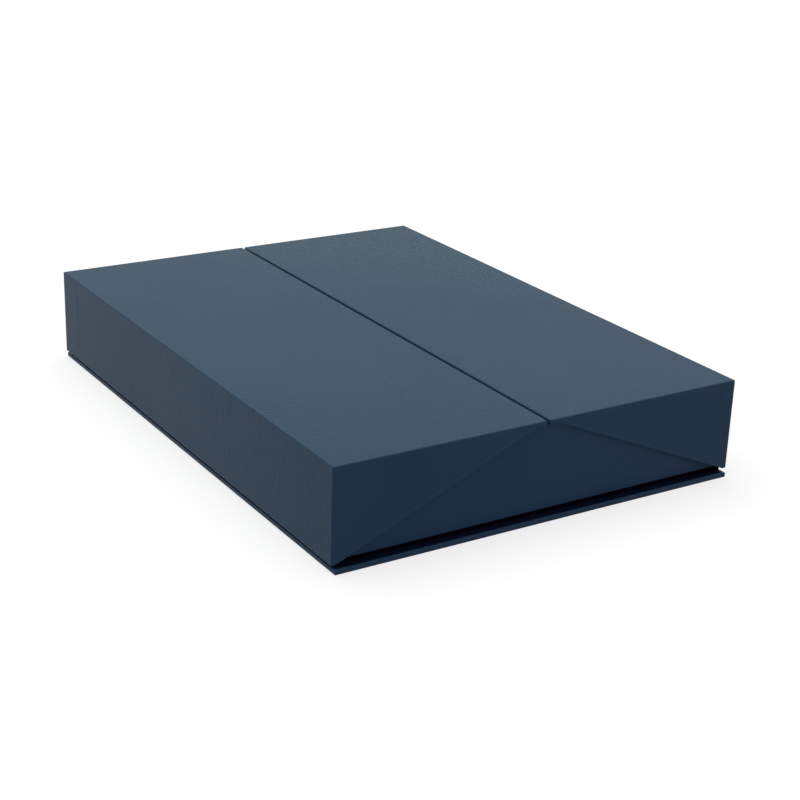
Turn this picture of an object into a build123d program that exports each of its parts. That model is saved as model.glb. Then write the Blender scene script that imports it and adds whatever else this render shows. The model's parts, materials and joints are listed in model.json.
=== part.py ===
"""A double door gift box for A4 papers and keepsakes, made of paper-covered board.

A tray stands on a plinth and a base board. Two doors close over it and meet at a seam along the
middle of the top. A door is half of the top, one long side and a three-cornered wing at each end,
all boards of one covered shell, and it swings on a cloth hinge beside the foot of the tray.

The origin is the middle of the base's underside. X runs across the doors, Y along the seam with
the front end at -Y, and Z up. Sizes are millimetres.
"""
from build123d import *
from math import hypot
import os

os.makedirs("parts", exist_ok=True)

# Overall sizes
box_length = 312.0          # along the seam, over the wings
box_width = 231.0           # across both doors
door_height = 47.0          # from a wing's toe to a door's top face
foot_drop = 0.7             # the long sides reach this far below the wings' toes
seam_gap = 1.6              # between the doors' meeting edges

# Board, paper and cloth
board = 2.0                 # the board in every panel
paper = 0.2                 # covering paper, on outer faces and over the edges
lining = 0.2                # lining paper, on inner faces
cloth = 0.3                 # hinge cloth
fold_radius = 0.8           # where covering paper folds over a board's edge
turn_in_margin = 3.0        # covering paper left showing inside, round each lining

# Base, plinth and tray
base_clearance = 0.3        # between the base's long edges and the feet of the open doors
base_overhang = 1.5         # the base's short edges reach this far beyond the wings
base_margin = 1.5           # covering paper left showing past the hinge cloth, at the base's ends
plinth_thickness = 2.7
plinth_inset = 5.0          # the plinth's edges lie this far under the tray
tray_clearance = 0.6        # between the tray's walls and the doors
lid_clearance = 0.4         # between the tray's rim and the doors

# Wings, hinges, magnets and their keepers
wing_toe = 2.4              # width of a wing at the foot of its sloping edge
hinge_end_gap = 3.5         # the hinge cloth stops this far short of the doors' ends
hinge_leaf_height = 16.0    # cloth glued up the inside of a door's long side
hinge_clearance = 0.3       # under a hinge leaf when its door lies open
magnet_diameter = 10.0
magnet_thickness = 1.5
magnet_from_seam = 48.0     # from the middle of the seam to a magnet's centre
magnet_drop = 8.0           # from the underside of a door's top to a magnet's centre
keeper_thickness = 1.0
pocket_clearance = 0.1      # round and behind each magnet and keeper

# Levels and faces that follow
panel = paper + board + lining
end_face = box_length / 2
base_half_length = end_face + base_overhang
side_face = box_width / 2
base_board_top = paper + board
base_top = base_board_top + paper
cloth_top = base_board_top + cloth
tray_board_bottom = cloth_top + plinth_thickness
tray_bottom = tray_board_bottom - paper
wing_bottom = tray_bottom
door_foot = wing_bottom - foot_drop
door_top = wing_bottom + door_height
door_ceiling = door_top - panel
board_ceiling = door_top - paper - board
tray_rim = door_ceiling - lid_clearance
side_inner = side_face - panel
side_board_inner = side_face - paper - board
end_inner = end_face - panel
end_board_inner = end_face - paper - board
leaf_inner = side_board_inner - cloth
leaf_top = door_foot + hinge_leaf_height
hinge_x = side_board_inner - cloth / 2
hinge_z = base_top + hinge_clearance + cloth / 2
base_half_width = hinge_x + door_foot - hinge_z - base_clearance
tray_half_width = leaf_inner - tray_clearance
tray_half_length = end_inner - tray_clearance
magnet_z = door_ceiling - magnet_drop

# A wing's sloping edge runs from the seam's top down to its toe, by the foot of the long side
wing_run = side_face - wing_toe - seam_gap / 2
wing_slant = hypot(wing_run, door_height)


def slope_x(z, inset):
    """X of a wing's sloping edge at height z, moved inset into the wing."""
    return seam_gap / 2 + ((door_top - z) * wing_run + inset * wing_slant) / door_height


def slope_z(x, inset):
    """Height of a wing's sloping edge at x, moved inset into the wing."""
    return door_top - ((x - seam_gap / 2) * door_height - inset * wing_slant) / wing_run


def door_shell(inset, thickness):
    """The right door's top, side and wings, with every outer face and edge moved in by inset."""
    seam, outer = seam_gap / 2 + inset, side_face - inset
    top, toe, foot = door_top - inset, wing_bottom + inset, door_foot + inset
    with BuildPart() as shell:
        with BuildSketch(Plane.XZ):
            with BuildLine():
                Polyline(
                    (seam, top),
                    (outer, top),
                    (outer, foot),
                    (outer - thickness, foot),
                    (outer - thickness, top - thickness),
                    (seam, top - thickness),
                    close=True,
                )
            make_face()
        extrude(amount=end_face - inset, both=True)
        with BuildSketch(Plane.XZ.offset(end_face - inset - thickness)):
            with BuildLine():
                Polyline(
                    (slope_x(top, inset), top),
                    (outer, top),
                    (outer, toe),
                    (slope_x(toe, inset), toe),
                    close=True,
                )
            make_face()
        extrude(amount=thickness)
        mirror(about=Plane.XZ)
        upright_folds = shell.edges().filter_by(Axis.Z).group_by(Axis.X)[-1]
        bottom_fold = shell.edges().filter_by(Axis.Y).group_by(Axis.Z)[0].sort_by(Axis.X)[-1]
        top_folds = shell.faces().sort_by(Axis.Z)[-1].edges()
        fillet(upright_folds + top_folds + [bottom_fold], radius=fold_radius - inset)
    return shell


door_skin = door_shell(0, panel)
door_core = door_shell(paper, board)

# The boards of the right door
with BuildPart() as top_board:
    add(door_core.part)
    split(bisect_by=Plane.XY.offset(board_ceiling), keep=Keep.TOP)

with BuildPart() as side_board:
    add(door_core.part)
    split(bisect_by=Plane.XY.offset(board_ceiling), keep=Keep.BOTTOM)
    split(bisect_by=Plane.YZ.offset(side_board_inner), keep=Keep.TOP)

# Each wing's board has a pocket in its inner face for a magnet
front_pocket_plane = Plane(
    origin=(magnet_from_seam, -end_board_inner, magnet_z), x_dir=(1, 0, 0), z_dir=(0, 1, 0)
)
with BuildPart() as front_wing_board:
    add(door_core.part)
    split(bisect_by=Plane.XY.offset(board_ceiling), keep=Keep.BOTTOM)
    split(bisect_by=Plane.YZ.offset(side_board_inner), keep=Keep.BOTTOM)
    split(bisect_by=Plane.XZ, keep=Keep.TOP)
    with Locations(front_pocket_plane):
        Hole(radius=magnet_diameter / 2 + pocket_clearance, depth=magnet_thickness + pocket_clearance)

with BuildPart() as back_wing_board:
    mirror(front_wing_board.part, about=Plane.XZ)

with BuildPart() as magnets:
    with Locations(front_pocket_plane):
        Cylinder(
            radius=magnet_diameter / 2,
            height=magnet_thickness,
            align=(Align.CENTER, Align.CENTER, Align.MAX),
        )
    mirror(about=Plane.XZ)

# The lining of a door's top and side is one folded sheet between the wings
with BuildPart() as door_lining:
    with BuildSketch(Plane.XZ):
        with BuildLine():
            Polyline(
                (seam_gap / 2 + turn_in_margin, door_ceiling),
                (side_inner, door_ceiling),
                (side_inner, leaf_top),
                (side_board_inner, leaf_top),
                (side_board_inner, board_ceiling),
                (seam_gap / 2 + turn_in_margin, board_ceiling),
                close=True,
            )
        make_face()
    extrude(amount=end_board_inner, both=True)

with BuildPart() as front_wing_lining:
    with BuildSketch(Plane.XZ.offset(end_inner)):
        with BuildLine():
            Polyline(
                (slope_x(door_ceiling, turn_in_margin), door_ceiling),
                (side_inner, door_ceiling),
                (side_inner, slope_z(side_inner, turn_in_margin)),
                close=True,
            )
        make_face()
    extrude(amount=lining)

with BuildPart() as back_wing_lining:
    mirror(front_wing_lining.part, about=Plane.XZ)

# The hinge leaf is glued inside the door's long side and bridges the gap down to the base
hinge_half_length = end_face - hinge_end_gap
with BuildPart() as hinge_leaf:
    with BuildSketch(Plane.XZ):
        with BuildLine():
            Polyline(
                (leaf_inner, hinge_z),
                (side_board_inner, hinge_z),
                (side_board_inner, leaf_top),
                (leaf_inner, leaf_top),
                close=True,
            )
        make_face()
    extrude(amount=hinge_half_length, both=True)

# The covering paper goes round the boards and shows as a margin beside the linings
with BuildPart() as door_wrap:
    add(door_skin.part)
    add(door_core.part, mode=Mode.SUBTRACT)
    add(door_lining.part, mode=Mode.SUBTRACT)
    add(front_wing_lining.part, mode=Mode.SUBTRACT)
    add(back_wing_lining.part, mode=Mode.SUBTRACT)
    add(hinge_leaf.part, mode=Mode.SUBTRACT)

# The base board, its covering paper and the hinge cloth laid over it
with BuildPart() as base_board:
    with BuildSketch(Plane.XY.offset(paper)):
        Rectangle(2 * (base_half_width - paper), 2 * (base_half_length - paper))
    extrude(amount=board)
    fillet(base_board.edges(), radius=fold_radius - paper)

with BuildPart() as hinge_cloth:
    with BuildSketch(Plane.XY.offset(base_board_top)):
        Rectangle(2 * leaf_inner, 2 * (base_half_length - base_margin))
    extrude(amount=cloth)

with BuildPart() as base_wrap:
    with BuildSketch(Plane.XY):
        Rectangle(2 * base_half_width, 2 * base_half_length)
    extrude(amount=base_top)
    fillet(base_wrap.edges(), radius=fold_radius)
    add(base_board.part, mode=Mode.SUBTRACT)
    add(hinge_cloth.part, mode=Mode.SUBTRACT)

with BuildPart() as plinth_board:
    with BuildSketch(Plane.XY.offset(cloth_top)):
        Rectangle(2 * (tray_half_width - plinth_inset), 2 * (tray_half_length - plinth_inset))
    extrude(amount=plinth_thickness)


def tray_block(inset):
    """The tray's outer block, with every outer face moved in by inset."""
    with BuildPart() as block:
        with BuildSketch(Plane.XY.offset(tray_bottom + inset)):
            Rectangle(2 * (tray_half_width - inset), 2 * (tray_half_length - inset))
        extrude(amount=tray_rim - tray_bottom - 2 * inset)
        upright_folds = block.edges().filter_by(Axis.Z)
        rim_folds = block.faces().sort_by(Axis.Z)[-1].edges()
        fillet(upright_folds + rim_folds, radius=fold_radius - inset)
    return block


tray_core = tray_block(paper)
tray_skin = tray_block(0)
floor_top = tray_board_bottom + board
floor_level = floor_top + lining
wall_board_inner_x = tray_half_width - paper - board
wall_board_inner_y = tray_half_length - paper - board
wall_inner_x = wall_board_inner_x - lining
wall_inner_y = wall_board_inner_y - lining
lining_rim = tray_rim - turn_in_margin

# The tray's floor board carries the four wall boards
with BuildPart() as tray_floor_board:
    add(tray_core.part)
    split(bisect_by=Plane.XY.offset(floor_top), keep=Keep.BOTTOM)

keeper_pocket_plane = Plane(
    origin=(0, -(tray_half_length - paper), magnet_z), x_dir=(1, 0, 0), z_dir=(0, -1, 0)
)
keeper_places = [(-magnet_from_seam, 0), (magnet_from_seam, 0)]
with BuildPart() as tray_front_board:
    add(tray_core.part)
    split(bisect_by=Plane.XY.offset(floor_top), keep=Keep.TOP)
    split(bisect_by=Plane.XZ.offset(wall_board_inner_y), keep=Keep.TOP)
    with Locations(keeper_pocket_plane):
        with Locations(*keeper_places):
            Hole(
                radius=magnet_diameter / 2 + pocket_clearance,
                depth=keeper_thickness + pocket_clearance,
            )

with BuildPart() as tray_back_board:
    mirror(tray_front_board.part, about=Plane.XZ)

with BuildPart() as keepers:
    with Locations(keeper_pocket_plane):
        with Locations(*keeper_places):
            Cylinder(
                radius=magnet_diameter / 2,
                height=keeper_thickness,
                align=(Align.CENTER, Align.CENTER, Align.MAX),
            )
    mirror(about=Plane.XZ)

with BuildPart() as tray_right_board:
    add(tray_core.part)
    split(bisect_by=Plane.XY.offset(floor_top), keep=Keep.TOP)
    split(bisect_by=Plane.YZ.offset(wall_board_inner_x), keep=Keep.TOP)
    split(bisect_by=Plane.XZ.offset(wall_board_inner_y), keep=Keep.BOTTOM)
    split(bisect_by=Plane.XZ.offset(-wall_board_inner_y), keep=Keep.TOP)

with BuildPart() as tray_left_board:
    mirror(tray_right_board.part, about=Plane.YZ)

# Lining papers of the tray: a band round the walls and a sheet on the floor
with BuildPart() as tray_wall_lining:
    with BuildSketch(Plane.XY.offset(floor_top)):
        Rectangle(2 * wall_board_inner_x, 2 * wall_board_inner_y)
        Rectangle(2 * wall_inner_x, 2 * wall_inner_y, mode=Mode.SUBTRACT)
    extrude(amount=lining_rim - floor_top)

with BuildPart() as tray_floor_lining:
    with BuildSketch(Plane.XY.offset(floor_top)):
        Rectangle(2 * wall_inner_x, 2 * wall_inner_y)
    extrude(amount=lining)

# The tray's covering paper goes over the rim to the lining and under the floor to the plinth
with BuildPart() as tray_wrap:
    add(tray_skin.part)
    add(tray_core.part, mode=Mode.SUBTRACT)
    with BuildSketch(Plane.XY.offset(floor_top)):
        Rectangle(2 * wall_inner_x, 2 * wall_inner_y)
    extrude(amount=tray_rim - floor_top, mode=Mode.SUBTRACT)
    add(plinth_board.part, mode=Mode.SUBTRACT)

for piece, name in (
    (base_board, "base_board"),
    (base_wrap, "base_wrap"),
    (hinge_cloth, "hinge_cloth"),
    (plinth_board, "plinth_board"),
    (tray_floor_board, "tray_floor_board"),
    (tray_front_board, "tray_front_board"),
    (tray_back_board, "tray_back_board"),
    (tray_left_board, "tray_left_board"),
    (tray_right_board, "tray_right_board"),
    (tray_wrap, "tray_wrap"),
    (tray_wall_lining, "tray_wall_lining"),
    (tray_floor_lining, "tray_floor_lining"),
    (keepers, "steel_keepers"),
):
    piece.part.label = name
    export_step(piece.part, f"parts/{name}.step")

# Each piece of the left door is the mirror image of the right door's piece
for right_piece, name in (
    (top_board, "top_board"),
    (side_board, "side_board"),
    (front_wing_board, "front_wing_board"),
    (back_wing_board, "back_wing_board"),
    (door_wrap, "door_wrap"),
    (door_lining, "door_lining"),
    (front_wing_lining, "front_wing_lining"),
    (back_wing_lining, "back_wing_lining"),
    (hinge_leaf, "hinge_leaf"),
    (magnets, "magnets"),
):
    with BuildPart() as left_piece:
        mirror(right_piece.part, about=Plane.YZ)
    right_piece.part.label = f"right_{name}"
    export_step(right_piece.part, f"parts/right_{name}.step")
    left_piece.part.label = f"left_{name}"
    export_step(left_piece.part, f"parts/left_{name}.step")

print(f"doors {box_width:.1f} x {box_length:.1f} mm, {door_top:.1f} mm high on the base")
print(f"base {2 * base_half_width:.1f} x {2 * base_half_length:.1f} mm")
print(f"tray inside {2 * wall_inner_x:.1f} x {2 * wall_inner_y:.1f} x {tray_rim - floor_level:.1f} mm")
print(f"hinge lines at x = +/-{hinge_x:.2f}, z = {hinge_z:.2f}")
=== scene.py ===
# %% [markdown]
# # A double door gift box
#
# This lesson dresses a flat rigid gift box made of paper-covered board. Two winged doors close over
# a tray and meet at a seam along the middle of the top. The construction is already fixed: every
# board, sheet and hinge line comes in as a frame that is never moved. The lesson adds what the eye
# reads: covers folded from one sheet of paper, cloth that bends at the hinges, and the finishes.
#
# The first step loads the frame.

# %% Load the frame
import json
import math

import bpy
import numpy as np
from mathutils import Matrix, Vector


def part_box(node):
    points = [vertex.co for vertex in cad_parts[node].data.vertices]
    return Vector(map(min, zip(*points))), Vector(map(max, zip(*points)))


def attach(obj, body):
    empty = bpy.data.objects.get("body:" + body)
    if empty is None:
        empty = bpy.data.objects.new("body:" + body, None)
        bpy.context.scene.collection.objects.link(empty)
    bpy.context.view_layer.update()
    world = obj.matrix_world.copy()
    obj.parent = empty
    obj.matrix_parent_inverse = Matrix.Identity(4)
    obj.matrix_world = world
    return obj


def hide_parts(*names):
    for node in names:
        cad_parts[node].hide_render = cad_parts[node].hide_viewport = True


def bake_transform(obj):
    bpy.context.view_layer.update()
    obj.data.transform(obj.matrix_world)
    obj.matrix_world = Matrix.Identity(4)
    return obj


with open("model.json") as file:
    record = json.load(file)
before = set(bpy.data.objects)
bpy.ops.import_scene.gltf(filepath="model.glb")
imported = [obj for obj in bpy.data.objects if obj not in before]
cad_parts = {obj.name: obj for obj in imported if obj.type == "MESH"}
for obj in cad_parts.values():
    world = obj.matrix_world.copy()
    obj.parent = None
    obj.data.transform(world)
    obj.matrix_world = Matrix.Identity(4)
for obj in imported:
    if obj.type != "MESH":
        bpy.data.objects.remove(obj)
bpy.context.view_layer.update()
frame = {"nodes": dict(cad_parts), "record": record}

# %% [markdown]
# ## Sizes read from the frame
#
# The sizes below are worked out from the boxes of the frame's own pieces, so the covers always fit
# the boards under them. Blender counts in metres, and paper in tenths of a millimetre, so one value
# says what a millimetre is. Two more say how near two places have to be to count as one.

# %% Read the sizes
MM = 0.001
same_place = 0.01 * MM
tiny = 1e-6

door_low, door_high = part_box("right_door_wrap")
base_low, base_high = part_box("base_wrap")
tray_low, tray_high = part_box("tray_wrap")
plinth_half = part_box("plinth_board")[1]
cloth_low, cloth_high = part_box("hinge_cloth")
leaf_low, leaf_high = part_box("right_hinge_leaf")
wing_lining_low, wing_lining_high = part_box("right_front_wing_lining")

paper = door_high.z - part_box("right_top_board")[1].z
panel = wing_lining_high.y - door_low.y
turn_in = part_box("right_door_lining")[0].x - door_low.x
door_height = door_high.z - door_low.z
door_end = door_high.y
seam_edge = door_low.x
guard = panel / 2
print(f"paper {paper / MM:.2f}, panel {panel / MM:.2f}, turn-in {turn_in / MM:.2f} mm")

# %% [markdown]
# ## The camera
#
# The picture to match was taken from the front left, a little above the box. The camera is
# described the way a photographer would set it up: a point to aim at, a direction with its azimuth
# and elevation, a distance, a small tilt of the tripod and a lens. The three directions of the
# camera, right, up and back, become the columns of its rotation.

# %% Place the camera
def direction(azimuth, elevation):
    """Away from the box, by two angles in degrees. Azimuth 0 is towards -Y and 90 towards +X."""
    turn, rise = math.radians(azimuth), math.radians(elevation)
    level = math.cos(rise)
    return Vector((math.sin(turn) * level, -math.cos(turn) * level, math.sin(rise)))


aim_point = Vector((-12.80 * MM, -47.09 * MM, 26.0 * MM))
camera_distance = 868.51 * MM
camera_roll = math.radians(2.048)
camera_lens = 75.704

forward = -direction(azimuth=-32.643, elevation=21.582)
level_right = forward.cross(Vector((0, 0, 1))).normalized()
level_up = level_right.cross(forward)
right = level_right * math.cos(camera_roll) + level_up * math.sin(camera_roll)
up = right.cross(forward)

camera = bpy.data.objects.new("camera", bpy.data.cameras.new("camera"))
bpy.context.scene.collection.objects.link(camera)
camera.matrix_world = Matrix((right, up, -forward)).transposed().to_4x4()
camera.location = aim_point - forward * camera_distance
camera.data.sensor_width = 36.0
camera.data.lens = camera_lens
camera.data.clip_start = 0.01
bpy.context.scene.camera = camera
print("camera at", [round(value / MM, 1) for value in camera.location], "mm")

# %% [markdown]
# ## Formulas inside node trees
#
# Both finishes and folded shapes are small formulas, and formulas are hard to read as rows of
# nodes. `Term` stands for one number inside a tree. Adding or multiplying two terms makes the node
# for it, so the code below reads like the formula on paper.

# %% Terms and nodes
def join(tree, value, socket):
    """Gives a socket its value: a link from a term or a socket, or a plain number."""
    if isinstance(value, Term):
        tree.links.new(value.socket, socket)
    elif isinstance(value, bpy.types.NodeSocket):
        tree.links.new(value, socket)
    else:
        socket.default_value = value


def add_node(tree, kind, settings=None, **values):
    """A new node with its settings and the inputs that are named."""
    node = tree.nodes.new(kind)
    for name, value in (settings or {}).items():
        setattr(node, name, value)
    for name, value in values.items():
        join(tree, value, node.inputs[name.replace("_", " ")])
    return node


class Term:
    """One number inside a node tree."""

    def __init__(self, tree, socket):
        self.tree, self.socket = tree, socket

    def math(self, operation, *others):
        node = self.tree.nodes.new("ShaderNodeMath")
        node.operation = operation
        for value, socket in zip((self, *others), node.inputs):
            join(self.tree, value, socket)
        return Term(self.tree, node.outputs[0])

    def __add__(self, other):
        return self.math("ADD", other)

    def __sub__(self, other):
        return self.math("SUBTRACT", other)

    def __mul__(self, other):
        return self.math("MULTIPLY", other)

    def __gt__(self, other):
        return self.math("GREATER_THAN", other)

    def larger(self, other):
        return self.math("MAXIMUM", other)

    def smaller(self, other):
        return self.math("MINIMUM", other)

    def size(self):
        return self.math("ABSOLUTE")

    def is_zero(self):
        return self.size().math("LESS_THAN", same_place)

    def between(self, low, high):
        """Low where the term is 0, high where it is 1."""
        return self * (high - low) + low

    def ramp(self, start, stop):
        """0 before start, 1 after stop, and a soft slope between them."""
        node = self.tree.nodes.new("ShaderNodeMapRange")
        node.interpolation_type = "SMOOTHSTEP"
        join(self.tree, self, node.inputs["Value"])
        join(self.tree, start, node.inputs["From Min"])
        join(self.tree, stop, node.inputs["From Max"])
        return Term(self.tree, node.outputs["Result"])


def parts_of(tree, vector):
    """The three numbers of a vector, as terms."""
    node = tree.nodes.new("ShaderNodeSeparateXYZ")
    tree.links.new(vector, node.inputs[0])
    return [Term(tree, output) for output in node.outputs]


def vector_of(tree, x, y, z):
    """A vector from three terms or numbers."""
    node = tree.nodes.new("ShaderNodeCombineXYZ")
    for value, socket in zip((x, y, z), node.inputs):
        join(tree, value, socket)
    return node.outputs[0]


print("terms ready:", [name for name in dir(Term) if not name.startswith("_")])

# %% [markdown]
# ## Starting a finish
#
# Every finish is one Principled shader with a pattern that lives in the piece's own object space,
# measured in millimetres, so a grain has its real size wherever the piece lies. Numbers that are the
# same all over the surface are set on the shader itself. Patterns drive only the colour, the
# roughness and the bump. The scale of a noise says how many of its bumps fit in a millimetre. A Mix
# node has sockets of one name for numbers, vectors and colours, so those for colours are picked by
# their places.

# %% Helpers for finishes
mix_inputs = (0, 6, 7)
mix_output = 2


def new_finish(name, roughness, specular, **constants):
    """A material with a Principled shader and the plain numbers of its finish."""
    material = bpy.data.materials.new(name)
    material.use_nodes = True
    tree = material.node_tree
    shader = next(node for node in tree.nodes if node.type == "BSDF_PRINCIPLED")
    shader.inputs["Roughness"].default_value = roughness
    shader.inputs["Specular IOR Level"].default_value = specular
    for label, value in constants.items():
        shader.inputs[label.replace("_", " ")].default_value = value
    return material, tree, shader


def scaled(tree, vector, factor):
    """The vector times a number."""
    node = add_node(tree, "ShaderNodeVectorMath", {"operation": "SCALE"}, Scale=factor)
    tree.links.new(vector, node.inputs[0])
    return node.outputs[0]


def object_millimetres(tree):
    """The point on the piece in its own space, in millimetres."""
    return scaled(tree, tree.nodes.new("ShaderNodeTexCoord").outputs["Object"], 1 / MM)


def stretched(tree, vector, factors):
    """The vector with each direction scaled by its own factor."""
    return add_node(tree, "ShaderNodeMapping", Vector=vector, Scale=factors).outputs[0]


def noise(tree, vector, scale, detail=2.0, roughness=0.5):
    """A noise pattern as a term. Scale counts its bumps per unit of the vector."""
    node = add_node(
        tree, "ShaderNodeTexNoise", Vector=vector, Scale=scale, Detail=detail, Roughness=roughness
    )
    return Term(tree, node.outputs["Fac"])


def colour_between(tree, amount, low, high):
    """A colour from low to high by the amount. Low may also be a colour socket."""
    node = add_node(tree, "ShaderNodeMix", {"data_type": "RGBA"})
    share, first, second = (node.inputs[place] for place in mix_inputs)
    join(tree, amount, share)
    join(tree, (*low, 1.0) if isinstance(low, tuple) else low, first)
    join(tree, (*high, 1.0), second)
    return node.outputs[mix_output]


def bump(tree, shader, height, depth):
    """Presses the pattern into the surface. Depth is in metres."""
    node = add_node(tree, "ShaderNodeBump", Height=height, Distance=depth, Strength=1.0)
    tree.links.new(node.outputs["Normal"], shader.inputs["Normal"])


# %% [markdown]
# ## The covering paper
#
# The box is covered in a slate blue paper with a fine linen embossing, hardly any sheen and hardly
# any pattern in its colour. The embossing is two sets of fine ribs that cross at right angles.
# Ribs along X, Y and Z are mixed in one pattern: on any flat side one of the three runs straight
# into the paper and the other two make the cross. A wave pattern of scale 1 has waves of the length
# `unit_wave`, so that length over the pitch is the scale that gives ribs of the right pitch. A
# coarser grain lies over the ribs. It is pressed deepest at the back right corner, where its crests
# are also painted a little paler as a painted sheen. Along the folds, the attribute `fold`, which the
# covers carry, makes the paper a touch paler. This is partly real rubbing of the stretched paper and
# partly a painted highlight.

# %% Covering paper
slate_deep = (0.0208, 0.0560, 0.0975)
slate_pale = (0.0226, 0.0600, 0.1040)
# Painted sheen: the grain's crests turn this paler towards the back right corner.
slate_painted_sheen = (0.039, 0.095, 0.138)
# Paler along the folds: partly real rubbing, partly a painted highlight.
slate_fold_highlight_and_wear = (0.08, 0.115, 0.16)
rib_pitch = 0.9
rib_depth = 0.5
grit_scale = 1.4
grit_depth = 0.6
grain_scale = 0.5
cloud_scale = 0.02
grain_depth = 1.6
extra_grain_depth = 15.0
deeper_from = 60.0
deepest_from = 190.0
press_depth = 0.08 * MM
fold_highlight_and_wear_share = 0.12
unit_wave = 0.31416


def ribs(tree, place, direction):
    """Fine ribs square to a direction, uneven in width and in depth."""
    node = add_node(
        tree,
        "ShaderNodeTexWave",
        {"wave_type": "BANDS", "bands_direction": direction, "wave_profile": "SIN"},
        Vector=place,
        Scale=unit_wave / rib_pitch,
        Distortion=1.6,
        Detail=1.0,
        Detail_Scale=1.3,
    )
    return Term(tree, node.outputs["Fac"])


def covering_paper_finish():
    material, tree, shader = new_finish("slate_linen_paper", roughness=0.4, specular=0.06)
    place = object_millimetres(tree)
    crossing = ribs(tree, place, "X") + ribs(tree, place, "Y") + ribs(tree, place, "Z")
    grit = noise(tree, place, grit_scale, detail=3.0)
    grain = noise(tree, place, grain_scale, detail=3.0, roughness=0.6)
    x, y, _ = parts_of(tree, place)
    deeper = (x + y).ramp(deeper_from, deepest_from)
    cloudy = noise(tree, place, cloud_scale)
    fold = Term(tree, add_node(tree, "ShaderNodeAttribute", {"attribute_name": "fold"}).outputs["Fac"])
    # Mask for the paler folds: partly real rubbing, partly a painted highlight.
    fold_highlight_and_wear_mask = fold * grit.ramp(start=0.25, stop=0.75).between(low=0.5, high=1.0)
    # Painted sheen: paler grain crests towards the back right corner.
    painted_sheen_crest = deeper * grain.ramp(start=0.35, stop=0.65).between(low=0.3, high=0.7)
    paper_tone = colour_between(tree, cloudy.ramp(start=0.3, stop=0.7), slate_deep, slate_pale)
    painted_sheen_tone = colour_between(tree, painted_sheen_crest, paper_tone, slate_painted_sheen)
    fold_highlight_and_wear_tone = colour_between(tree, fold_highlight_and_wear_mask * fold_highlight_and_wear_share, painted_sheen_tone, slate_fold_highlight_and_wear)
    tree.links.new(fold_highlight_and_wear_tone, shader.inputs["Base Color"])
    join(tree, grit.ramp(start=0.2, stop=0.8).between(low=0.33, high=0.43), shader.inputs["Roughness"])
    pressed = grain * (deeper * extra_grain_depth + grain_depth)
    bump(tree, shader, crossing * rib_depth + grit * grit_depth + pressed, press_depth)
    return material


covering_paper = covering_paper_finish()
print("finish:", covering_paper.name)

# %% [markdown]
# ## The lining paper
#
# Inside, the box is lined with a plain black paper: matte, with short fibres that catch a little
# light. The magnets lie just under the wings' linings, so each shows through as a faint round rise.

# %% Lining paper
black_paper = (0.009, 0.010, 0.013)
grey_fibre = (0.018, 0.019, 0.023)
fibre_stretch = (1.0, 2.6, 1.7)
fleck_share = 0.4
fibre_depth = 0.5
rise_depth = 4.0
rise_inside = 0.3
rise_outside = 0.7


def lining_paper_finish(name, disc_centre=None, disc_radius=0.0):
    material, tree, shader = new_finish(name, roughness=0.75, specular=0.25)
    place = object_millimetres(tree)
    along_fibres = stretched(tree, place, fibre_stretch)
    fibres = noise(tree, along_fibres, scale=1.1, detail=4.0, roughness=0.6)
    flecks = noise(tree, place, scale=3.0, detail=1.0).ramp(start=0.62, stop=0.72)
    fibre_tone = fibres.ramp(start=0.3, stop=0.7) + flecks * fleck_share
    colour = colour_between(tree, fibre_tone, black_paper, grey_fibre)
    tree.links.new(colour, shader.inputs["Base Color"])
    join(tree, fibres.between(low=0.62, high=0.82), shader.inputs["Roughness"])
    height = fibres * fibre_depth
    if disc_centre:
        x, y, z = parts_of(tree, place)
        across = x.size() - disc_centre[0] / MM
        upward = z - disc_centre[1] / MM
        radius = (across * across + upward * upward).math("SQRT")
        edge = disc_radius / MM
        height = height + radius.ramp(edge + rise_outside, edge - rise_inside) * rise_depth
    bump(tree, shader, height, depth=0.03 * MM)
    return material


magnet_low, magnet_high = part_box("right_magnets")
magnet_centre = ((magnet_low.x + magnet_high.x) / 2, (magnet_low.z + magnet_high.z) / 2)
magnet_radius = (magnet_high.x - magnet_low.x) / 2
lining_paper = lining_paper_finish("black_lining_paper")
wing_lining_paper = lining_paper_finish("black_wing_lining_paper", magnet_centre, magnet_radius)
print("finishes:", lining_paper.name, wing_lining_paper.name)

# %% [markdown]
# ## Boards
#
# The grey board is pressed from waste paper: a warm grey with darker specks and a rough face. The
# plinth is cut from a card that is black all through. Its near-black colour with a blue cast is partly
# painted shade: it darkens the recess under the tray as a shadow would. Its specks are a little paler.

# %% Grey and black board
def board_finish(name, low, high, speck, specular):
    material, tree, shader = new_finish(name, roughness=0.9, specular=specular)
    place = object_millimetres(tree)
    pulp = noise(tree, place, scale=0.7, detail=5.0, roughness=0.65)
    specks = noise(tree, place, scale=2.2, detail=1.0).ramp(start=0.66, stop=0.74)
    tone = colour_between(tree, pulp.ramp(start=0.25, stop=0.75), low, high)
    tree.links.new(colour_between(tree, specks, tone, speck), shader.inputs["Base Color"])
    join(tree, pulp.between(low=0.78, high=0.98), shader.inputs["Roughness"])
    bump(tree, shader, pulp, depth=0.08 * MM)
    return material


grey_pulp = ((0.20, 0.19, 0.17), (0.30, 0.285, 0.26), (0.10, 0.09, 0.08))
# The plinth's card: black, with its depth of black and its blue cast partly painted shade for the
# recess under the tray.
black_pulp_and_painted_shade = ((0.001, 0.003, 0.014), (0.002, 0.005, 0.020), (0.005, 0.008, 0.024))
grey_board = board_finish("grey_board", *grey_pulp, specular=0.2)
black_board = board_finish("black_card_and_painted_shade", *black_pulp_and_painted_shade, specular=0.06)
print("finishes:", grey_board.name, black_board.name)

# %% [markdown]
# ## Book cloth
#
# The hinges are black book cloth. Its near-black colour with the same blue cast is partly painted
# shade for the recess under the tray, where the cloth shows. Its weave follows the cloth round the
# fold, so the pattern reads the cloth's own flat coordinates from its UV map: over-and-under threads,
# about half a millimetre apart.

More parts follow.
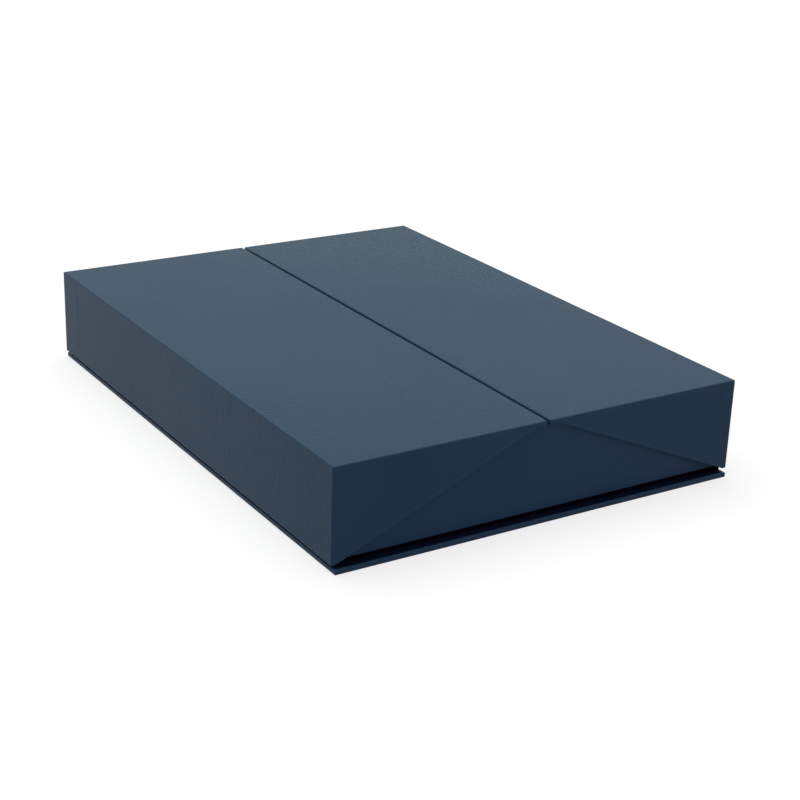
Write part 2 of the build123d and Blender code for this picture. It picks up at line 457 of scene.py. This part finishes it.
# %% Book cloth
# Near-black with a blue cast: partly painted shade for the recess under the tray.
cloth_dark_and_painted_shade = (0.0008, 0.0022, 0.010)
cloth_pale_and_painted_shade = (0.002, 0.005, 0.020)
two_threads = 1.1 * MM
lint_share = 0.4
lint_depth = 0.3


def hinge_cloth_finish():
    material, tree, shader = new_finish("black_book_cloth_and_painted_shade", roughness=0.85, specular=0.05)
    flat = add_node(tree, "ShaderNodeUVMap", {"uv_map": "flat"}).outputs[0]
    u, v, _ = parts_of(tree, flat)
    thread_turns = 2 * math.pi / two_threads
    warp = (u * thread_turns).math("SINE")
    weft = (v * thread_turns).math("SINE")
    weave = (warp * weft) * 0.5 + 0.5
    lint = noise(tree, object_millimetres(tree), scale=0.8, detail=4.0)
    paler = weave * (1 - lint_share) + lint * lint_share
    colour = colour_between(tree, paler, cloth_dark_and_painted_shade, cloth_pale_and_painted_shade)
    tree.links.new(colour, shader.inputs["Base Color"])
    join(tree, lint.between(low=0.75, high=0.90), shader.inputs["Roughness"])
    bump(tree, shader, weave + lint * lint_depth, depth=0.06 * MM)
    return material


book_cloth = hinge_cloth_finish()
print("finish:", book_cloth.name)

# %% [markdown]
# ## Metal
#
# The keepers are punched from brushed steel sheet, and the magnets are nickel plated. Both hide
# under paper, but they are finished like the rest.

# %% Steel and nickel
steel_grey = (0.55, 0.55, 0.56)
nickel_grey = (0.72, 0.70, 0.66)
line_shade = 0.85
line_dulling = 0.1
smudge_dulling = 0.15


def metal_finish(name, colour, roughness, brushing):
    """Metal with fine lines. Brushing says how often they change along X, Y and Z."""
    material, tree, shader = new_finish(name, roughness=roughness, specular=0.5, Metallic=1.0)
    place = object_millimetres(tree)
    lines = noise(tree, stretched(tree, place, brushing), scale=1.0, detail=3.0)
    smudges = noise(tree, place, scale=0.25, detail=3.0)
    darker = tuple(line_shade * value for value in colour)
    tree.links.new(colour_between(tree, lines, darker, colour), shader.inputs["Base Color"])
    dulled = smudges * smudge_dulling + lines * line_dulling + roughness
    join(tree, dulled, shader.inputs["Roughness"])
    bump(tree, shader, lines, depth=0.01 * MM)
    return material


keeper_steel = metal_finish("brushed_steel", steel_grey, roughness=0.3, brushing=(0.4, 0.4, 9.0))
magnet_nickel = metal_finish("bright_nickel", nickel_grey, roughness=0.12, brushing=(1.5, 1.5, 1.5))
print("finishes:", keeper_steel.name, magnet_nickel.name)

# %% [markdown]
# ## One sheet, folded
#
# A cover is cut flat from one sheet, the blank, and folded round its boards: down over each edge,
# in under the board, and back up the inside as a narrow turn-in that the lining meets. The blank is
# built here as a flat mesh with a line of points wherever a fold comes. Two numbers on each point
# say how far its flap runs before it folds in, `wall`, and how far it then runs before it folds
# back, `lip`.

# %% Stations and blanks
def stations(start, stop, step):
    """Even places from start to stop, no further apart than the step."""
    count = max(1, math.ceil(abs(stop - start) / step - tiny))
    return [start + (stop - start) * i / count for i in range(count + 1)]


def merged(*lists):
    """All places of the lists in order, each once."""
    found = []
    for value in sorted(value for places in lists for value in places):
        if not found or value - found[-1] > same_place:
            found.append(value)
    return found


def blank_mesh(name, patches, facing=1):
    """A flat mesh from patches, facing up or down. A patch is a grid of points (u, v, wall, lip)."""
    points, faces, walls, lips = [], [], [], []
    for patch in patches:
        rows, columns = len(patch), len(patch[0])
        first = len(points)
        for row in patch:
            for u, v, wall, lip in row:
                points.append((u, v, 0.0))
                walls.append(wall)
                lips.append(lip)
        for i in range(rows - 1):
            for j in range(columns - 1):
                a = first + i * columns + j
                quad = (a, a + 1, a + 1 + columns, a + columns)
                corners = [Vector(points[k]) for k in quad]
                if (corners[2] - corners[0]).cross(corners[3] - corners[1]).z * facing < 0:
                    quad = quad[::-1]
                faces.append(quad)
    mesh = bpy.data.meshes.new(name)
    mesh.from_pydata(points, [], faces)
    for label, values in (("wall", walls), ("lip", lips)):
        mesh.attributes.new(label, "FLOAT", "POINT").data.foreach_set("value", values)
    flat = mesh.uv_layers.new(name="flat")
    for loop in mesh.loops:
        flat.data[loop.index].uv = points[loop.vertex_index][:2]
    return mesh


print(f"a line of points runs {guard / MM:.2f} mm beside each fold")

# %% [markdown]
# ## Helpers for Geometry Nodes
#
# Every tree of this lesson starts with its named numbers and ends with real geometry in one material.

# %% Start and end a tree
def new_tree(name, sizes):
    """A Geometry Nodes tree with a named number for each size, and the sockets to start from."""
    tree = bpy.data.node_groups.new(name, "GeometryNodeTree")
    tree.is_modifier = True
    tree.interface.new_socket("Geometry", in_out="OUTPUT", socket_type="NodeSocketGeometry")
    tree.interface.new_socket("Geometry", in_out="INPUT", socket_type="NodeSocketGeometry")
    for label in sizes:
        tree.interface.new_socket(label, in_out="INPUT", socket_type="NodeSocketFloat")
    tree.interface.new_socket("Material", in_out="INPUT", socket_type="NodeSocketMaterial")
    given = tree.nodes.new("NodeGroupInput")
    result = tree.nodes.new("NodeGroupOutput")
    terms = {label: Term(tree, given.outputs[label]) for label in sizes}
    return tree, given, result, terms


def end_tree(tree, given, result, geometry):
    """Every tree ends alike: real geometry, smooth faces and the given material."""
    smooth = add_node(tree, "GeometryNodeSetShadeSmooth", Geometry=geometry)
    real = add_node(tree, "GeometryNodeRealizeInstances", Geometry=smooth.outputs[0])
    painted = add_node(
        tree, "GeometryNodeSetMaterial", Geometry=real.outputs[0], Material=given.outputs["Material"]
    )
    tree.links.new(painted.outputs[0], result.inputs["Geometry"])


def point_number(tree, name):
    """The number that each point carries under this name."""
    node = add_node(tree, "GeometryNodeInputNamedAttribute", {"data_type": "FLOAT"}, Name=name)
    return Term(tree, node.outputs["Attribute"])


def stored(tree, geometry, domain, name, value):
    """The geometry with a number under this name on its points or edges."""
    settings = {"data_type": "FLOAT", "domain": domain}
    node = add_node(
        tree, "GeometryNodeStoreNamedAttribute", settings, Geometry=geometry, Name=name, Value=value
    )
    return node.outputs[0]


print("a tree's first and last steps:", new_tree.__name__, end_tree.__name__)

# %% [markdown]
# ## The folding rule
#
# The folding itself is a Geometry Nodes tree, because every cover of this box follows one rule. A
# point that lies past an edge of the middle panel runs down its wall, then in by its lip, then back.
# The tree works that out from the flat place of the point, welds the edges that meet, and lets the
# finished sheet sink here and there by a fraction of a millimetre, as glued paper does.
#
# The paper of a door's end is folded round the corner as a tab, under the paper of the long side. So
# a faint line shows near the back corner, where the tab stops and the outer paper sinks a little.
# Near the foot, the top and the front corner the step is rubbed flat.
#
# `fold` is 1 on a fold and fades beside it. Each edge also gets the weight with which it is rounded.
# The folds along a door's top are soft. The folds of the base and the tray, those along a rim and
# those inside a board are tighter, because the paper mustn't cut into the sharp edges of the board
# that it wraps.

# %% The folding tree
least_fold = math.radians(50)
inner_fold = 0.5
fold_band = 1.3 * MM
tab_edge = 0.4 * MM
flat_run = 60 * MM
step_start = 3 * MM
step_full = 12 * MM
waves_per_metre = 14.0
fold_sizes = ("Near edge", "Far edge", "End", "Level", "Way", "Tab reach", "Tab depth", "Ripple")
fold_sizes += ("Seed", "Panel fold", "Rim fold")


def folding_tree():
    tree, given, result, size = new_tree("fold_round_boards", fold_sizes)
    flat_place = tree.nodes.new("GeometryNodeInputPosition").outputs[0]
    u, v, _ = parts_of(tree, flat_place)
    wall, lip = point_number(tree, "wall"), point_number(tree, "lip")

    past_near = size["Near edge"] - u
    past_far = u - size["Far edge"]
    past_end = v.size() - size["End"]
    past = past_near.larger(past_far).larger(past_end).larger(0.0)
    down = past.smaller(wall)
    inward = (past - wall).larger(0.0).smaller(lip)
    back = (past - wall - lip).larger(0.0)

    over_near, over_far, over_end = (term > tiny for term in (past_near, past_far, past_end))
    past_tab = (size["End"] - size["Tab reach"] - v).ramp(-tab_edge, tab_edge)
    off_front = (size["End"] + v).ramp(0.0, flat_run)
    off_folds = down.ramp(step_start, step_full) * (wall - down).ramp(step_start, step_full)
    tab_sink = past_tab * off_front * off_folds * size["Tab depth"]
    x = u.larger(size["Near edge"]).smaller(size["Far edge"])
    x = x + inward * over_near - (inward + tab_sink) * over_far
    y = v.math("SIGN") * (v.size().smaller(size["End"]) - inward * over_end)
    z = size["Level"] + size["Way"] * (down - back)

    turned = (past - wall - lip) > -same_place
    tightness = past.is_zero() * (size["Panel fold"] - 1.0) + turned * (inner_fold - 1.0) + 1.0
    tightness = tightness + (past - wall).is_zero() * (size["Rim fold"] - 1.0)
    nearest = past_near.size().smaller(past_far.size()).smaller(past_end.size())
    nearest = nearest.smaller((past - wall).size()).smaller((past - wall - lip).size())
    marked = stored(tree, given.outputs["Geometry"], "POINT", "fold", nearest.ramp(fold_band, 0.0))
    told = stored(tree, marked, "POINT", "tightness", tightness)
    folded = add_node(tree, "GeometryNodeSetPosition", Geometry=told, Position=vector_of(tree, x, y, z))
    welded = add_node(
        tree, "GeometryNodeMergeByDistance", Geometry=folded.outputs[0], Distance=same_place
    )
    waves = add_node(
        tree,
        "ShaderNodeTexNoise",
        {"noise_dimensions": "4D"},
        W=size["Seed"],
        Scale=waves_per_metre,
        Detail=1.0,
    )
    sink = Term(tree, waves.outputs["Fac"]).ramp(start=0.3, stop=0.8) * size["Ripple"] * -1.0
    offset = scaled(tree, tree.nodes.new("GeometryNodeInputNormal").outputs[0], sink)
    rippled = add_node(tree, "GeometryNodeSetPosition", Geometry=welded.outputs[0], Offset=offset)
    angle = Term(tree, tree.nodes.new("GeometryNodeInputMeshEdgeAngle").outputs["Unsigned Angle"])
    roundness = (angle > least_fold) * point_number(tree, "tightness")
    weighed = stored(tree, rippled.outputs[0], "EDGE", "bevel_weight_edge", roundness)
    end_tree(tree, given, result, weighed)
    return tree


fold_round_boards = folding_tree()
print("folding tree:", len(fold_round_boards.nodes), "nodes")

# %% [markdown]
# ## From tree to piece
#
# A tree runs on a piece as a modifier. Its inputs are set by their identifiers, and the evaluated
# result is copied into a plain mesh. Bevel then rounds every fold, and Solidify gives the sheet its
# real thickness, inwards. Both are applied too, so the finished piece is a simple closed mesh that
# sits at the origin with its place in its points.

# %% Run a tree and finish a sheet
def show(name, mesh):
    piece = bpy.data.objects.new(name, mesh)
    bpy.context.scene.collection.objects.link(piece)
    return piece


def applied(piece):
    """The piece with its modifiers turned into plain mesh."""
    evaluated = piece.evaluated_get(bpy.context.evaluated_depsgraph_get())
    plain = bpy.data.meshes.new_from_object(evaluated)
    plain.name = piece.name
    piece.modifiers.clear()
    piece.data = plain
    return piece


def grow(name, mesh, tree, values, material):
    """The plain piece that the tree makes of the mesh."""
    piece = show(name, mesh)
    modifier = piece.modifiers.new("tree", "NODES")
    modifier.node_group = tree
    for item in tree.interface.items_tree:
        if item.name in values:
            modifier[item.identifier] = values[item.name]
        elif item.name == "Material":
            modifier[item.identifier] = material
    return applied(piece)


def rounded_sheet(piece, fold_radius, thickness):
    """Rounds the folds and gives the sheet its thickness."""
    bevel = piece.modifiers.new("round the folds", "BEVEL")
    bevel.width = fold_radius
    bevel.segments = 4
    bevel.limit_method = "WEIGHT"
    bevel.use_clamp_overlap = False
    solidify = piece.modifiers.new("paper thickness", "SOLIDIFY")
    solidify.thickness = thickness
    solidify.offset = -1.0
    solidify.use_even_offset = True
    return applied(piece)


def report(piece):
    corners = np.array([vertex.co for vertex in piece.data.vertices])
    low, high = corners.min(0) / MM, corners.max(0) / MM
    print(f"{piece.name}: {len(piece.data.polygons)} faces, from {low.round(2)} to {high.round(2)} mm")


# %% [markdown]
# ## The door covers
#
# A door's blank has the top as its middle panel. The long side hangs from the outer edge. The seam
# edge is only as deep as the board. At each end hangs a three-cornered wing, whose free edge slopes
# from the seam down to the foot of the long side. The rows of points on a wing are level, so the
# columns are placed where the slope crosses the rows, and the slope is then cut exactly from point
# to point. The turn-in behind a slope runs up to the wing's lining, less a hair, so that no bare board
# shows between the two when the door is open.

# %% The blank of a door
fold_radius = 0.6 * MM
rim_fold = 0.6
tab_reach = 20.0 * MM
tab_depth = 0.07 * MM
ripple = 0.06 * MM
side_inner = door_high.x - panel
wing_rows = 15
cover_step = 6 * MM
hair = 0.05 * MM

depths = [0.0, guard, panel] + stations(panel, door_height - guard, door_height / wing_rows)[1:]
depths.append(door_height)


def slope_at(depth):
    """How far from the seam the wing's sloping edge lies at this depth below the top."""
    return seam_edge + (side_inner - seam_edge) * depth / door_height


def door_patches():
    columns_over_wing = [slope_at(depth) for depth in depths[2:]]
    across = merged(
        [seam_edge, seam_edge + guard, seam_edge + turn_in],
        columns_over_wing,
        [door_high.x - guard, door_high.x],
    )
    tab_line = door_end - tab_reach
    close = 0.5 * MM
    near = 1.5 * MM
    half = merged(
        stations(0.0, tab_line - near, cover_step),
        [tab_line - close, tab_line, tab_line + close],
        stations(tab_line + near, door_end - panel, cover_step),
        [door_end - guard, door_end],
    )
    along = merged([-place for place in half], half)
    inner_along = [v for v in along if abs(v) <= door_end - panel + tiny]

    wall = door_height
    body = [[(u, v, wall, panel) for v in along] for u in across]
    side = [[(door_high.x + depth, v, wall, panel) for v in along] for depth in depths]
    foot = [
        [(door_high.x + wall + run, v, wall, panel) for v in inner_along] for run in (0, guard, panel)
    ]
    foot_turn_in = [
        [(door_high.x + wall + panel + run, v, wall, panel) for v in inner_along]
        for run in (0, turn_in)
    ]
    seam_wall = [[(seam_edge - depth, v, panel, turn_in) for v in along] for depth in depths[:3]]
    seam_lip = [
        [(seam_edge - panel - run, v, panel, turn_in) for v in inner_along]
        for run in (0, guard, turn_in)
    ]
    patches = [body, side, foot, foot_turn_in, seam_wall, seam_lip]
    for end in (-door_end, door_end):
        patches += wing_patches(across, end)
    return patches


def reach_down(u):
    """How deep the wing hangs at u."""
    return min(door_height, max(panel, door_height * (u - seam_edge) / (side_inner - seam_edge)))


def lining_edge(u):
    """How deep below the top the wing's lining begins at u."""
    share = (wing_lining_high.x - u) / (wing_lining_high.x - wing_lining_low.x)
    edge = wing_lining_low.z + (wing_lining_high.z - wing_lining_low.z) * share
    return max(panel, door_high.z - edge)


def wing_patches(across, end):
    """A wing with its sloping lip and turn-in, hanging past one end of the door's top."""
    way = math.copysign(1.0, end)
    patches = []
    for left, right in zip(across, across[1:]):
        deep_left, deep_right = reach_down(left), reach_down(right)
        rows = [depth for depth in depths if depth <= deep_right + tiny]
        patches.append(
            [
                [(u, end + way * min(depth, deep), deep, panel) for depth in rows]
                for u, deep in ((left, deep_left), (right, deep_right))
            ]
        )
    lip, back = [], []
    for u in across:
        deep = reach_down(u)
        lip.append([(u, end + way * (deep + run), deep, panel) for run in (0, panel)])
        if slope_at(panel) - tiny <= u <= side_inner + tiny:
            to_lining = max(0.0, deep - lining_edge(u) - hair)
            turned_in = [deep + panel + run for run in (0, to_lining)]
            back.append([(u, end + way * depth, deep, panel) for depth in turned_in])
    return patches + [lip, back]


print("the blank of a door has", len(door_patches()), "patches")

# %% [markdown]
# ## Folding the doors
#
# Both doors are folded from the same blank by the same tree. The left one is then mirrored, and its
# seed gives it waves of its own.

# %% Fold the doors
def fold_cover(name, blank, node, body, mirrored=False, **sizes):
    """Folds a blank by the sizes of the tree, rounds its folds and lets it ride on its body."""
    sizes = {label.replace("_", " ").capitalize(): value for label, value in sizes.items()}
    sizes.update({"Ripple": ripple, "Rim fold": rim_fold})
    cover = grow(name, blank, fold_round_boards, sizes, covering_paper)
    if mirrored:
        cover.data.transform(Matrix.Scale(-1, 4, (1, 0, 0)))
        cover.data.flip_normals()
    rounded_sheet(cover, fold_radius, paper)
    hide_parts(node)
    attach(cover, body)
    report(cover)


for side_name, seed in (("right", 3.0), ("left", 8.0)):
    fold_cover(
        f"{side_name}_door_cover",
        blank_mesh(f"{side_name}_door_blank", door_patches()),
        f"{side_name}_door_wrap",
        f"{side_name}_door",
        mirrored=side_name == "left",
        near_edge=seam_edge,
        far_edge=door_high.x,
        end=door_end,
        level=door_high.z,
        way=-1.0,
        tab_reach=tab_reach,
        tab_depth=tab_depth,
        seed=seed,
        panel_fold=1.0,
    )

# %% [markdown]
# ## The covers of the base and the tray
#
# The same tree folds the covers of the base and of the tray. There the middle panel is the
# underside, so the walls run up. The lips of neighbouring sides meet in a mitre, as paper is cut at
# a corner. Those of the base run on a little under the hinge cloth. The tray's cover leaves its
# underside open where the plinth is glued on.

# %% The blanks of the base and the tray
box_step = 8 * MM


def box_stations(half_size, half_hole):
    """Places across a panel with a line beside each fold and on each edge of its hole."""
    return merged(
        [-half_size, guard - half_size, half_size - guard, half_size],
        stations(guard - half_size, -half_hole, box_step),
        stations(-half_hole, half_hole, box_step),
        stations(half_hole, half_size - guard, box_step),
    )


def box_patches(half_width, half_length, depths, lips, turn, hole=None):
    """The blank of a cover with four walls, mitred lips and turn-ins, and a hole in its middle."""
    wall = depths[-1]
    hole_width, hole_length = hole or (0.0, 0.0)
    across = box_stations(half_width, hole_width)
    along = box_stations(half_length, hole_length)
    if hole:
        between = [v for v in along if abs(v) < hole_length + tiny]
        ends = ([v for v in along if way * v > hole_length - tiny] for way in (-1, 1))
        sides = ([u for u in across if way * u > hole_width - tiny] for way in (-1, 1))
        middle = [[[(u, v, wall, 0.0) for v in rows] for u in across] for rows in ends]
        middle += [[[(u, v, wall, 0.0) for v in between] for u in columns] for columns in sides]
    else:
        middle = [[[(u, v, wall, 0.0) for v in along] for u in across]]
    patches = list(middle)
    lip_folds = [(0.0, 1.0), (1.0, 2.0)] if turn else [(0.0, 1.0)]
    for way in (-1, 1):
        side_runs = [way * (half_width + depth) for depth in depths]
        end_runs = [way * (half_length + depth) for depth in depths]
        patches.append([[(run, v, wall, lips[0]) for v in along] for run in side_runs])
        patches.append([[(u, run, wall, lips[1]) for u in across] for run in end_runs])
        for folds in lip_folds:
            side_rows, end_rows = [], []
            for fold in folds:
                shrink = min(fold, 1.0)
                back = max(fold - 1.0, 0.0) * turn
                shorter = 1 - shrink * lips[1] / half_length
                narrower = 1 - shrink * lips[0] / half_width
                side_run = half_width + wall + shrink * lips[0] + back
                end_run = half_length + wall + shrink * lips[1] + back
                side_rows.append([(way * side_run, v * shorter, wall, lips[0]) for v in along])
                end_rows.append([(u * narrower, way * end_run, wall, lips[1]) for u in across])
            patches += [side_rows, end_rows]
    return patches


print("places across the base:", len(box_stations(base_high.x, half_hole=0.0)))

# %% [markdown]
# ## Folding the base and the tray
#
# The walls of these two covers run up from the underside, so their blanks face down.

# %% Fold the base and the tray
def fold_box_cover(name, node, patches, low, high, seed, panel_fold):
    """A cover folded up round a box that reaches from low to high."""
    fold_cover(
        name,
        blank_mesh(f"{name}_blank", patches, facing=-1),
        node,
        "base",
        near_edge=-high.x,
        far_edge=high.x,
        end=high.y,
        level=low.z,
        way=1.0,
        tab_reach=0.0,
        tab_depth=0.0,
        seed=seed,
        panel_fold=panel_fold,
    )


base_height = base_high.z - base_low.z
under_cloth = 2.0 * MM
base_patches = box_patches(
    base_high.x,
    base_high.y,
    [0.0, base_height / 2, base_height],
    (base_high.x - cloth_high.x + under_cloth, base_high.y - cloth_high.y + under_cloth),
    0.0,
)
fold_box_cover("base_cover", "base_wrap", base_patches, base_low, base_high, seed=21.0, panel_fold=0.75)

tray_height = tray_high.z - tray_low.z
tray_depths = merged([0.0], stations(guard, tray_height - guard, cover_step), [tray_height])
tray_patches = box_patches(
    tray_high.x,
    tray_high.y,
    tray_depths,
    (panel, panel),
    turn_in,
    hole=(plinth_half.x, plinth_half.y),
)
fold_box_cover("tray_cover", "tray_wrap", tray_patches, tray_low, tray_high, seed=34.0, panel_fold=0.6)

# %% [markdown] ## The hinge cloth The doors have no metal hinges. A black book cloth is glued over
# the base and up the inside of each long side, and it bends along the foot of the door. A real box
# would have one sheet. Here it is made as two halves that meet out of sight under the tray, one for
# each door. The cloth is a sheet swept along its path: flat on the base, round a tight bend, then
# straight up. Its leaf ends just short of the wings' linings, so that no bare board shows beside it.

# %% The path of the cloth
cloth_thickness = cloth_high.z - cloth_low.z
cloth_level = (cloth_low.z + cloth_high.z) / 2
leaf_place = side_inner - cloth_thickness / 2
bend_radius = 0.25 * MM
bend_steps = 6
bend_rise = 0.55 * MM
leaf_bound = leaf_low.z + bend_rise
leaf_half = door_end - panel - 3 * hair
before_bend = 1 * MM
flat_step = 8 * MM
bend_step = 0.3 * MM
leaf_step = 2 * MM
thread_step = 4 * MM


def cloth_path():
    """Points (x, z, half length) across one half of the cloth, from the middle to the leaf's top."""
    flat_end = leaf_place - bend_radius
    path = [(x, cloth_level, cloth_high.y) for x in stations(0.0, flat_end - before_bend, flat_step)]
    path.append((flat_end, cloth_level, cloth_high.y))
    for step in range(1, bend_steps + 1):
        turn = math.pi / 2 * step / bend_steps
        x = flat_end + bend_radius * math.sin(turn)
        z = cloth_level + bend_radius * (1 - math.cos(turn))
        path.append((x, z, leaf_half))
    start = path[-1][1]
    path += [(leaf_place, z, leaf_half) for z in stations(start, leaf_bound, bend_step)[1:]]
    path += [(leaf_place, z, leaf_half) for z in stations(leaf_bound, leaf_high.z, leaf_step)[1:]]
    return path


print("points along the cloth's path:", len(cloth_path()))

# %% [markdown] ## Two halves of cloth  Each half is a grid of points, the path times its width.

# %% Make the two halves
def cloth_half(side_name, way):
    """One half of the cloth. Way is 1 for the right half and -1 for the left one."""
    path = cloth_path()
    run, runs = 0.0, [0.0]
    for before, after in zip(path, path[1:]):
        run += math.dist(before[:2], after[:2])
        runs.append(run)
    columns = stations(-1.0, 1.0, thread_step / leaf_half)
    points = [(way * x, half * share, z) for x, z, half in path for share in columns]
    flat_points = [(run, half * share) for run, (_, _, half) in zip(runs, path) for share in columns]
    width = len(columns)
    faces = []
    for i in range(len(path) - 1):
        for j in range(width - 1):
            corner = i * width + j
            quad = (corner, corner + width, corner + width + 1, corner + 1)
            faces.append(quad if way > 0 else quad[::-1])
    mesh = bpy.data.meshes.new(f"{side_name}_hinge_cloth")
    mesh.from_pydata(points, [], faces)
    flat = mesh.uv_layers.new(name="flat")
    for loop in mesh.loops:
        flat.data[loop.index].uv = flat_points[loop.vertex_index]
    mesh.materials.append(book_cloth)
    mesh.polygons.foreach_set("use_smooth", [True] * len(mesh.polygons))
    cloth = show(f"{side_name}_hinge_cloth_half", mesh)
    solidify = cloth.modifiers.new("cloth thickness", "SOLIDIFY")
    solidify.thickness = cloth_thickness
    solidify.offset = 0.0
    applied(cloth)
    area = sum(
        (after_run - before_run) * (before[2] + after[2])
        for before_run, after_run, before, after in zip(runs, runs[1:], path, path[1:])
    )
    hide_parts("hinge_cloth", f"{side_name}_hinge_leaf")
    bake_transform(cloth)
    report(cloth)
    print(f"cut {run / MM:.1f} by {2 * cloth_high.y / MM:.1f} mm, {area * 1e4:.0f} square centimetres")


cloth_half("right", way=1)
cloth_half("left", way=-1)

# %% [markdown]
# ## Magnets and keepers
#
# Each wing holds a magnet, and the tray's end walls hold a steel disc opposite each one. All are
# plain turned discs with a softened rim, repeated at known places, which is work for Geometry
# Nodes: the tree turns one disc and sets it on every point. The places come from the frame.

# %% Turn the discs
disc_sizes = ("Radius", "Thickness", "Rim")
soft_rim = 0.3 * MM


def disc_tree():
    tree, given, result, size = new_tree("turned_discs", disc_sizes)
    half = size["Thickness"] * 0.5
    axis = add_node(
        tree,
        "GeometryNodeCurvePrimitiveLine",
        Start=vector_of(tree, 0.0, half * -1.0, 0.0),
        End=vector_of(tree, 0.0, half, 0.0),
    )
    steps = add_node(tree, "GeometryNodeResampleCurve", Curve=axis.outputs[0], Count=17)
    place = tree.nodes.new("GeometryNodeInputPosition").outputs[0]
    from_face = half - parts_of(tree, place)[1].size()
    short_of_rim = (size["Rim"] - from_face).larger(0.0)
    squared = size["Rim"] * size["Rim"] - short_of_rim * short_of_rim
    radius = size["Radius"] - size["Rim"] + squared.larger(0.0).math("SQRT")
    circle = add_node(tree, "GeometryNodeCurvePrimitiveCircle", Resolution=64, Radius=1.0)
    disc = add_node(
        tree,
        "GeometryNodeCurveToMesh",
        Curve=steps.outputs[0],
        Profile_Curve=circle.outputs[0],
        Scale=radius,
    )
    disc.inputs["Fill Caps"].default_value = True
    placed = add_node(
        tree,
        "GeometryNodeInstanceOnPoints",
        Points=given.outputs["Geometry"],
        Instance=disc.outputs[0],
    )
    end_tree(tree, given, result, placed.outputs[0])
    return tree


turned_discs = disc_tree()


def disc_places(node):
    """The centres of the discs in a CAD node, their radius and their thickness."""
    corners = np.array([vertex.co for vertex in frame["nodes"][node].data.vertices])
    quarters = {}
    for corner in corners:
        quarters.setdefault((corner[0] > 0, corner[1] > 0), []).append(corner)
    lows = [np.min(found, axis=0) for found in quarters.values()]
    highs = [np.max(found, axis=0) for found in quarters.values()]
    sizes = highs[0] - lows[0]
    return [tuple((low + high) / 2) for low, high in zip(lows, highs)], sizes[0] / 2, sizes[1]


def set_discs(name, node, body, finish):
    centres, radius, thickness = disc_places(node)
    points = bpy.data.meshes.new(f"{name}_places")
    points.from_pydata(centres, [], [])
    sizes = {"Radius": radius, "Thickness": thickness, "Rim": soft_rim}
    discs = grow(name, points, turned_discs, sizes, finish)
    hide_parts(node)
    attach(discs, body)
    report(discs)


set_discs("left_magnet_discs", "left_magnets", "left_door", magnet_nickel)
set_discs("right_magnet_discs", "right_magnets", "right_door", magnet_nickel)
set_discs("keeper_discs", "steel_keepers", "base", keeper_steel)

# %% [markdown]
# ## Pieces that keep their frame shape
#
# Boards and linings are flat sheets, so the frame's own shapes are right. They only need their
# finishes. The record says which finish each one has.

# %% Finish the boards and linings
finish_of_slot = {
    "covering_paper": covering_paper,
    "lining_paper": lining_paper,
    "board": grey_board,
    "black_board": black_board,
    "hinge_cloth": book_cloth,
    "keeper_steel": keeper_steel,
    "magnet_nickel": magnet_nickel,
}
for subpart in frame["record"]["subparts"]:
    name = subpart["node"]
    finish = finish_of_slot[subpart["material_slot"]]
    if name.endswith("wing_lining"):
        finish = wing_lining_paper
    for slot in frame["nodes"][name].material_slots:
        slot.material = finish

# %% [markdown]
# ## Floor, light and background
#
# The box stands on a plain pale floor under two soft lights. One falls from high above and a little
# behind: a sun lamp with a very wide disc, which lights the whole floor evenly. The other comes from
# all sides, from the world. So the top is lightest, the left side comes next and the front end is
# darkest. The paper looks a touch more violet in the shade than in the light, so the world's light
# is slightly violet and the lamp is slightly green. The background is white because the world and
# the floor are white to the camera, and to glossy and clear surfaces, while they light the box at a
# plain level. The floor keeps the box's shadow.

# %% Light the box
def ray_is_seen(tree):
    """1 for rays from the camera, from glossy and from clear surfaces, else 0."""
    path = tree.nodes.new("ShaderNodeLightPath")
    camera_ray, glossy, clear = (
        Term(tree, path.outputs[name])
        for name in ("Is Camera Ray", "Is Glossy Ray", "Is Transmission Ray")
    )
    return camera_ray.larger(glossy).larger(clear)


def white_world(fill):
    """A world that is white where it is seen, and lights the box with the fill colour."""
    world = bpy.data.worlds.new("studio")
    world.use_nodes = True
    tree = world.node_tree
    background = next(node for node in tree.nodes if node.type == "BACKGROUND")
    background.inputs["Strength"].default_value = 1.0
    shown = colour_between(tree, ray_is_seen(tree), fill, (1.0, 1.0, 1.0))
    tree.links.new(shown, background.inputs["Color"])
    bpy.context.scene.world = world


def pale_floor(half_size, grey, glow):
    corners = [(-half_size, -half_size, 0), (half_size, -half_size, 0)]
    corners += [(half_size, half_size, 0), (-half_size, half_size, 0)]
    mesh = bpy.data.meshes.new("floor")
    mesh.from_pydata(corners, [], [(0, 1, 2, 3)])
    material, tree, shader = new_finish("pale_floor", roughness=0.9, specular=0.0)
    shader.inputs["Base Color"].default_value = (grey, grey, grey, 1.0)
    shader.inputs["Emission Color"].default_value = (1.0, 1.0, 1.0, 1.0)
    join(tree, ray_is_seen(tree) * glow, shader.inputs["Emission Strength"])
    mesh.materials.append(material)
    floor = show("floor", mesh)


def soft_sun(name, azimuth, elevation, width, strength, colour):
    """A sun lamp that shines from a direction, with a disc as wide as the angle width."""
    lamp = bpy.data.lights.new(name, "SUN")
    lamp.energy = strength
    lamp.color = colour
    lamp.angle = math.radians(width)
    sun = bpy.data.objects.new(name, lamp)
    bpy.context.scene.collection.objects.link(sun)
    towards = direction(azimuth, elevation)
    sun.rotation_mode = "QUATERNION"
    sun.rotation_quaternion = towards.to_track_quat("Z", "Y")
    print(f"sun lamp {name} shines from {[round(part, 2) for part in towards]}")


shade_tint = (0.57, 0.483, 0.572)
sun_tint = (0.93, 1.13, 0.93)
white_world(shade_tint)
pale_floor(half_size=4.0, grey=0.35, glow=0.70)
soft_sun("overhead", azimuth=195, elevation=72, width=60, strength=1.39, colour=sun_tint)
bpy.context.scene.view_settings.view_transform = "Standard"

# %% [markdown]
